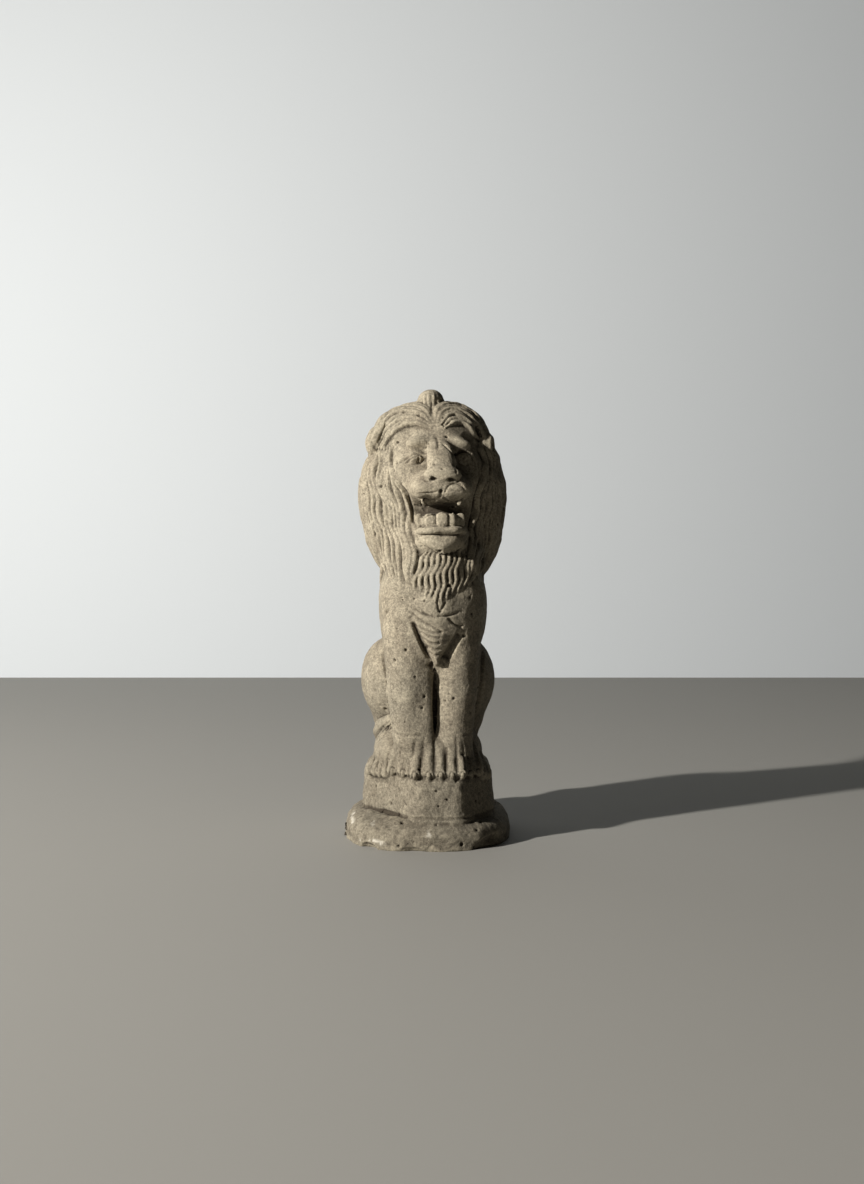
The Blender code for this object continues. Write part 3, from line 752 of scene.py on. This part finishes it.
# Painted shade darkens the hollows, which are found by comparing the skin with a smoothed one, and deep in
# the open mouth; a painted highlight lightens the ridges
SMOOTHINGS = 8
MOUTH_PLACE, MOUTH_REACH, MOUTH_PAINTED_SHADE = (0, -104, -50), (46, 24, 11), 1.9

write(lion.data, skin + lift[:, None] * outward)
bm = bmesh.new()
bm.from_mesh(lion.data)
whole = bm.verts[:] + bm.edges[:] + bm.faces[:]
cut = bmesh.ops.bisect_plane(bm, geom=whole, plane_co=(0, 0, 0), plane_no=(0, 0, -1), clear_outer=True)
bmesh.ops.contextual_create(bm, geom=[e for e in cut["geom_cut"] if isinstance(e, bmesh.types.BMEdge)])
bmesh.ops.triangulate(bm, faces=bm.faces[:])
bm.to_mesh(lion.data)
bm.free()
if len(lion.data.polygons) > MOST_TRIANGLES:
    modified("DECIMATE", ratio=MOST_TRIANGLES / len(lion.data.polygons))
lion.data.polygons.foreach_set("use_smooth", np.ones(len(lion.data.polygons), bool))

lowest, highest = np.array(cad_box) / MM
shape = np.clip(read(lion.data, "co") / MM, lowest, highest)
write(lion.data, shape)
mean = shape
for _ in range(SMOOTHINGS):
    mean = mean + 0.8 * (neighbours_middle(lion.data, mean) - mean)
# How far each point lies below the smoothed skin: it carries painted shade in hollows and a painted highlight
# on ridges
painted_shade_and_highlight = ((mean - shape) * read(lion.data, "no")).sum(1)
from_mouth = ((shape - face.place) @ face.turn - MOUTH_PLACE) / MOUTH_REACH
painted_shade_and_highlight += MOUTH_PAINTED_SHADE * np.clip(1.7 * (1.6 - np.linalg.norm(from_mouth, axis=1)), 0.0, 1.0)
lion.data.attributes.new("painted_shade_and_highlight", "FLOAT", "POINT").data.foreach_set("value", painted_shade_and_highlight.astype(np.float32))

# Lime bloom on the slab: the middle of each patch as seen from the front, and its breadth and height
LIME = ((-126, 33, 5, 4), (-88, 36, 4, 3), (-86, 14, 9, 3), (-74, 11, 6, 3), (2, 26, 5, 4), (-110, 10, 4, 2))
TORN_EDGE = ((0.7, 6.0, 8), (0.5, 2.5, 9))
lime = np.zeros(len(shape))
torn = uneven(shape, TORN_EDGE)
for x, z, wide, tall in LIME:
    gap = np.hypot((shape[:, 0] - x) / wide, (shape[:, 2] - z) / tall)
    lime = np.maximum(lime, np.where(shape[:, 1] < 0, 1.0 - gap + torn, 0.0))
lime = 0.7 * np.clip(1.5 * lime, 0.0, 1.0)
lion.data.attributes.new("lime", "FLOAT", "POINT").data.foreach_set("value", lime.astype(np.float32))


# Cast stone
# Crushed stone and sand bound with cement and left outdoors: warm grey buff with 1 to 3 mm grains, painted
# shade in the hollows, a painted highlight on the ridges, and pale lime bloom low on the slab. It gives the
# eye a dry, matt surface with a sandy bite.


def rgb(code):
    """An sRGB hex colour as linear red, green, blue and alpha."""
    values = [int(code[k : k + 2], 16) / 255 for k in (0, 2, 4)]
    return [v / 12.92 if v <= 0.04045 else ((v + 0.055) / 1.055) ** 2.4 for v in values] + [1.0]


cast_stone = bpy.data.materials.new("cast_stone_weathered")
cast_stone.use_nodes = True
tree = cast_stone.node_tree
tree.nodes.clear()


def add(kind, links=(), **settings):
    """Adds a node, sets what is named, and links its inputs."""
    node = tree.nodes.new(kind)
    for name, value in settings.items():
        if name.startswith("in_"):
            node.inputs[name[3:].replace("_", " ")].default_value = value
        else:
            setattr(node, name, value)
    for socket, source in dict(links).items():
        tree.links.new(source, node.inputs[socket])
    return node


def ranged(source, low, high, to_low, to_high):
    """The source's value, moved from one range onto another and held within it."""
    limits = {"in_From_Min": low, "in_From_Max": high, "in_To_Min": to_low, "in_To_Max": to_high}
    return add("ShaderNodeMapRange", {"Value": source}, **limits).outputs["Result"]


def mixed(first, second, share, kind="MIX"):
    """Two colours mixed. Each is a socket or a colour, and the share is a socket or a number."""
    node = add("ShaderNodeMix", data_type="RGBA", blend_type=kind)
    for name, value in (("Factor", share), ("A", first), ("B", second)):
        socket = next(s for s in node.inputs if s.name == name and s.enabled)
        if isinstance(value, bpy.types.NodeSocket):
            tree.links.new(value, socket)
        else:
            socket.default_value = value
    return next(s for s in node.outputs if s.enabled)


# Pattern sizes in millimetres. The real grains of 1 to 3 mm are drawn coarser, so that they show
GRAIN, SAND, MOTTLE, STAIN = 4.5, 1.8, 26.0, 120.0
place = add("ShaderNodeTexCoord").outputs["Object"]


def noise(size, detail):
    values = {"in_Scale": 1.0 / (size * MM), "in_Detail": detail, "in_Roughness": 0.6}
    return add("ShaderNodeTexNoise", {"Vector": place}, **values).outputs["Fac"]


grain, sand, mottle, stain = noise(GRAIN, 2.0), noise(SAND, 2.0), noise(MOTTLE, 4.0), noise(STAIN, 2.0)
base = mixed(rgb("786E5E"), rgb("A69C87"), ranged(mottle, 0.25, 0.75, 0.0, 1.0))
base = mixed(base, rgb("8F8877"), ranged(stain, 0.4, 0.7, 0.0, 0.6))
base = mixed(base, ranged(grain, 0.33, 0.67, 0.66, 1.24), 1.0, "MULTIPLY")
base = mixed(base, ranged(sand, 0.36, 0.64, 0.70, 1.24), 1.0, "MULTIPLY")
height = add("ShaderNodeSeparateXYZ", {"Vector": place}).outputs["Z"]
base = mixed(base, ranged(height, 0.0, 0.50, 0.53, 1.0), 1.0, "MULTIPLY")
depth = add("ShaderNodeAttribute", attribute_name="painted_shade_and_highlight").outputs["Fac"]
# Painted highlight: ridges and convex edges lightened toward a pale buff
base = mixed(base, rgb("BDB39B"), ranged(depth, -0.3, -1.6, 0.0, 0.22))
# Painted shade: hollows, creases and the open mouth darkened toward a dark brown
base = mixed(base, rgb("2E261C"), ranged(depth, 0.15, 1.9, 0.0, 0.86))
bloom = add("ShaderNodeAttribute", attribute_name="lime").outputs["Fac"]
base = mixed(base, rgb("C9C3B4"), bloom)
rough = add("ShaderNodeBump", {"Height": grain}, in_Strength=0.7, in_Distance=0.0014).outputs["Normal"]
gritty = add("ShaderNodeBump", {"Height": sand, "Normal": rough}, in_Strength=0.6, in_Distance=0.0006)
matt = {"in_Roughness": 0.94, "in_IOR": 1.5, "in_Specular_IOR_Level": 0.3}
surface = add("ShaderNodeBsdfPrincipled", {"Base Color": base, "Normal": gritty.outputs["Normal"]}, **matt)
add("ShaderNodeOutputMaterial", {"Surface": surface.outputs["BSDF"]})
lion.data.materials.clear()
lion.data.materials.append(cast_stone)
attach(lion, "root")
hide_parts("stone_lion")


# The floor and the wall
# A plain pale floor and wall, not part of the statue. The wall stands so far back that cameras behind the
# statue still see it.

FLOOR_HALF = 6.0
WALL_BEHIND = 3.4


def stage_sheet(name, corners, colour):
    mesh = bpy.data.meshes.new(name)
    mesh.from_pydata(corners, [], [(0, 1, 2, 3)])
    sheet = bpy.data.objects.new(name, mesh)
    bpy.context.scene.collection.objects.link(sheet)
    paint = bpy.data.materials.new(name + "_paint")
    paint.use_nodes = True
    paint.node_tree.nodes["Principled BSDF"].inputs["Base Color"].default_value = rgb(colour)
    paint.node_tree.nodes["Principled BSDF"].inputs["Roughness"].default_value = 0.75
    mesh.materials.append(paint)


half, far = FLOOR_HALF, WALL_BEHIND
stage_sheet("floor", [(-half, -half, 0), (half, -half, 0), (half, far, 0), (-half, far, 0)], "918F89")
stage_sheet("wall", [(-half, far, 0), (half, far, 0), (half, far, half), (-half, far, half)], "D3D8DB")


# The studio
# One small lamp stands far off and low at the left of the camera, and a weak light comes from all round.

world = bpy.data.worlds.new("studio")
world.use_nodes = True
world.node_tree.nodes["Background"].inputs["Color"].default_value = rgb("E9ECEC")
world.node_tree.nodes["Background"].inputs["Strength"].default_value = 0.008
bpy.context.scene.world = world

KEY_RANGE, KEY_TURN, KEY_RISE = 6.0, -57.0, 19.0
key_data = bpy.data.lights.new("key", "AREA")
key_data.size = 0.2
key_data.energy = 750.0
key_data.color = (1.0, 0.97, 0.93)
key = bpy.data.objects.new("key", key_data)
key_turn, key_rise = math.radians(KEY_TURN), math.radians(KEY_RISE)
aim = Vector((0.0, 0.0, 0.42))
back = Vector(
    (math.sin(key_turn) * math.cos(key_rise), -math.cos(key_turn) * math.cos(key_rise), math.sin(key_rise))
)
key.location = aim + KEY_RANGE * back
key.rotation_euler = (-back).to_track_quat("-Z", "Y").to_euler()
bpy.context.scene.collection.objects.link(key)

camera_data = bpy.data.cameras.new("camera")
camera_data.lens = 33.4
camera_data.sensor_width = 36.0
camera_data.sensor_fit = "AUTO"
camera = bpy.data.objects.new("camera", camera_data)
camera.location = (0.0073, -1.92, 0.4145)
camera.rotation_euler = (math.radians(90), 0, 0)
bpy.context.scene.collection.objects.link(camera)
bpy.context.scene.camera = camera
bpy.context.scene.view_settings.view_transform = "Standard"
